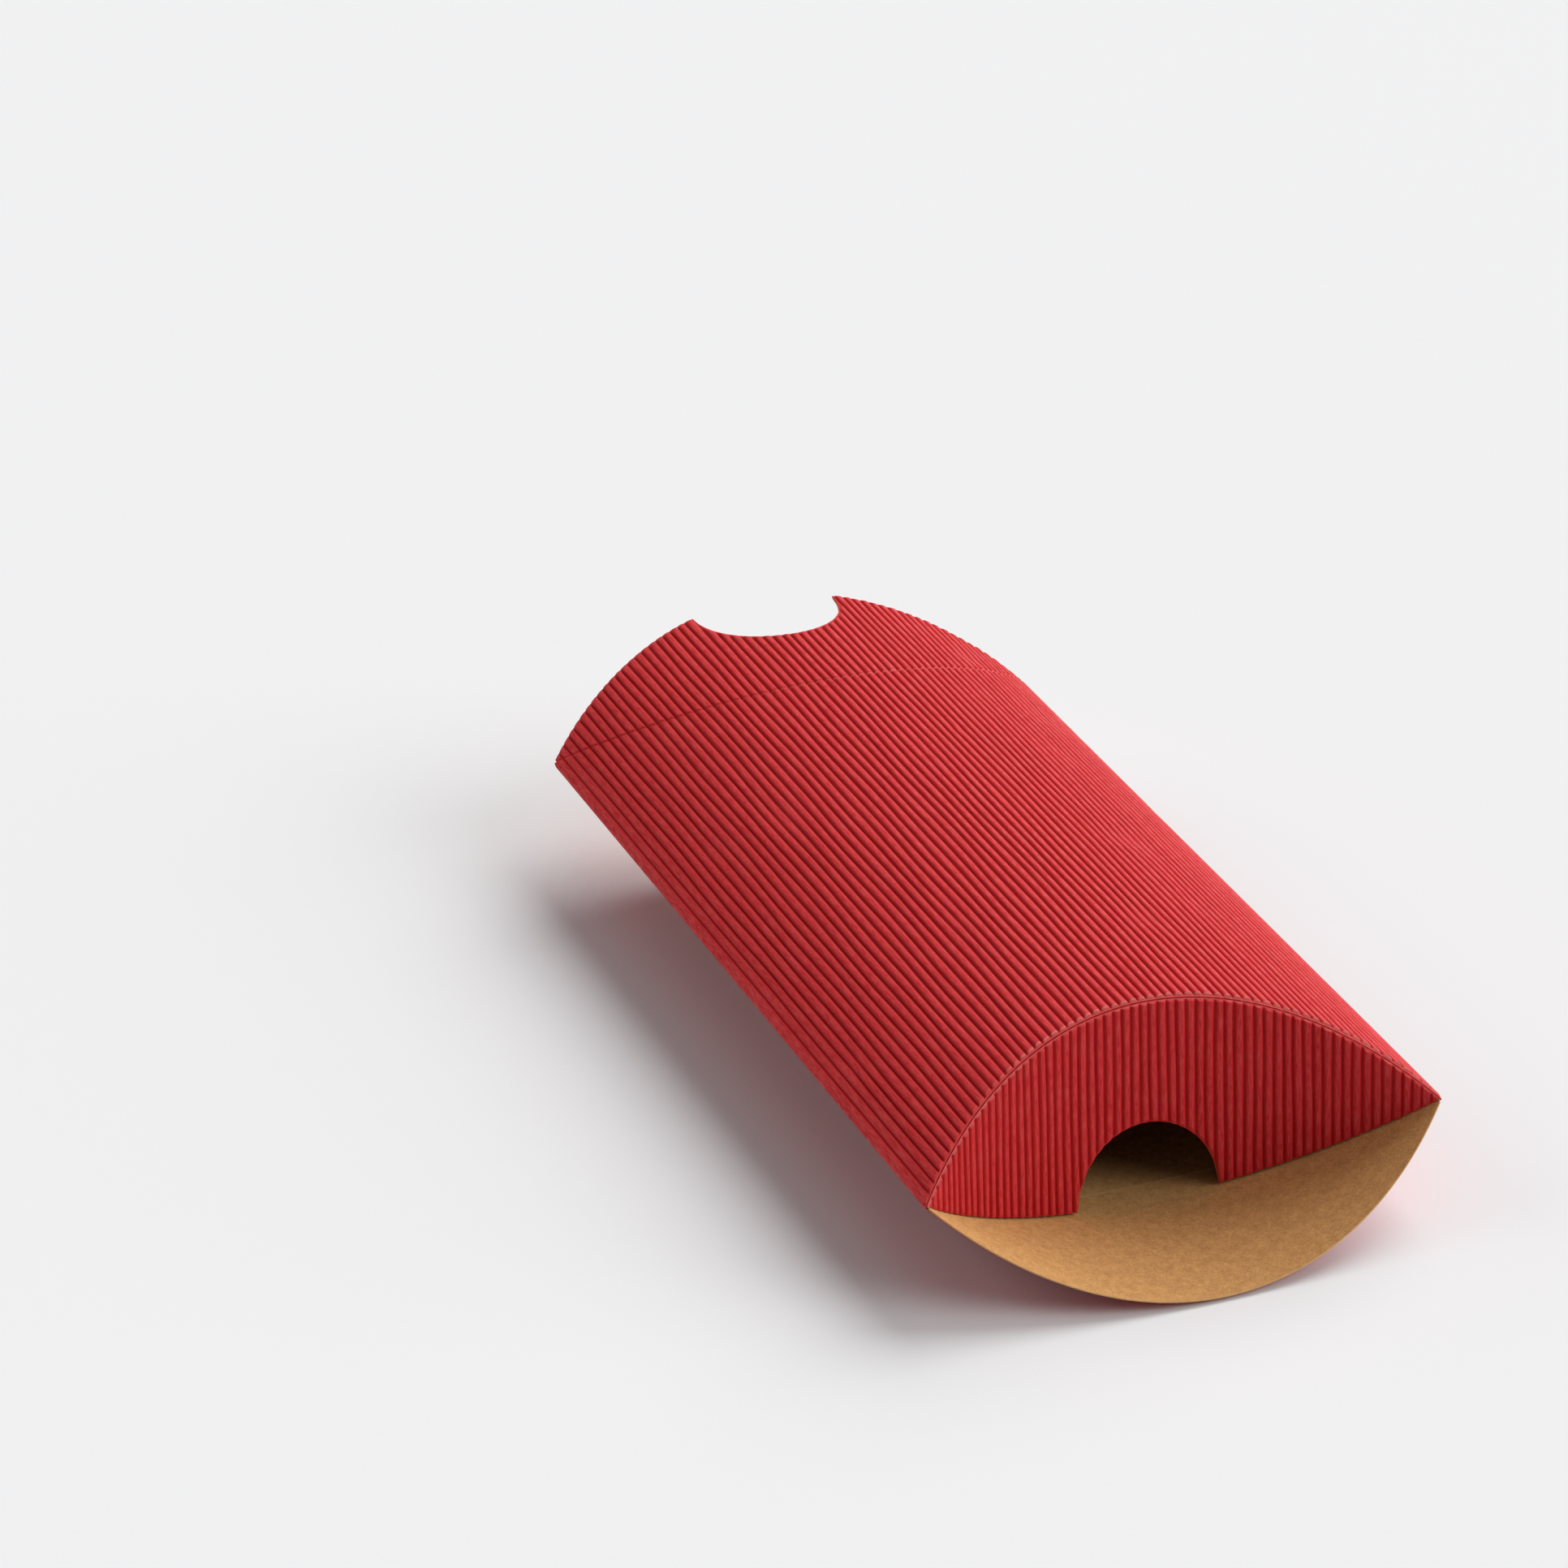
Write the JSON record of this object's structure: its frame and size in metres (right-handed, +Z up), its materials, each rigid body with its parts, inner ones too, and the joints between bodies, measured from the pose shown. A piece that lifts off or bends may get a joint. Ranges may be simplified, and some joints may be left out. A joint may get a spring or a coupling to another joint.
{
  "type": "pillow box",
  "caption": "Pillow-shaped gift box of red fluted card with a kraft inside: an arched glued tube whose curved end flaps fold in to close it, with thumb notches in the upper flaps.",
  "frame": {"origin": "on the surface that the box lies on, under the middle of its whole length and width", "axes": "+Z up; +Y along the box from the end with the shut notched flap to the end with the open notched flap; +X across the box, towards the glued side fold"},
  "size_m": [0.1274, 0.252, 0.0486],
  "materials": {
    "red_flutes": "matt dyed red paper, pressed into fine flutes",
    "kraft_liner": "smooth matt brown kraft paper",
    "dried_glue": "dried translucent packaging glue"
  },
  "bodies": {
    "tube": {"top_panel_liner": "kraft_liner", "top_panel_flutes": "red_flutes", "bottom_panel_liner": "kraft_liner", "bottom_panel_flutes": "red_flutes", "glue_tab_liner": "kraft_liner", "glue_tab_flutes": "red_flutes", "seam_glue_strip": "dried_glue"},
    "front_upper_flap": {"front_upper_flap_liner": "kraft_liner", "front_upper_flap_flutes": "red_flutes"},
    "front_lower_flap": {"front_lower_flap_liner": "kraft_liner", "front_lower_flap_flutes": "red_flutes"},
    "rear_upper_flap": {"rear_upper_flap_liner": "kraft_liner", "rear_upper_flap_flutes": "red_flutes"},
    "rear_lower_flap": {"rear_lower_flap_liner": "kraft_liner", "rear_lower_flap_flutes": "red_flutes"}
  },
  "joints": [
    {"name": "front_upper_fold", "type": "hinge", "parent": "tube", "child": "front_upper_flap", "pos_m": [0, -0.07822, 0.0478], "axis": [-1, 0, 0], "range_deg": [-8, 80], "deforming": ["front_upper_flap_liner", "front_upper_flap_flutes"]},
    {"name": "front_lower_fold", "type": "hinge", "parent": "tube", "child": "front_lower_flap", "pos_m": [0, -0.07957, 0.0008], "axis": [1, 0, 0], "range_deg": [-78, 0], "deforming": ["front_lower_flap_liner", "front_lower_flap_flutes"]},
    {"name": "rear_upper_fold", "type": "hinge", "parent": "tube", "child": "rear_upper_flap", "pos_m": [0, 0.08153, 0.0478], "axis": [1, 0, 0], "range_deg": [-78, 0], "deforming": ["rear_upper_flap_liner", "rear_upper_flap_flutes"]},
    {"name": "rear_lower_fold", "type": "hinge", "parent": "tube", "child": "rear_lower_flap", "pos_m": [0, 0.08018, 0.0008], "axis": [-1, 0, 0], "range_deg": [-8, 80], "deforming": ["rear_lower_flap_liner", "rear_lower_flap_flutes"]}
  ]
}
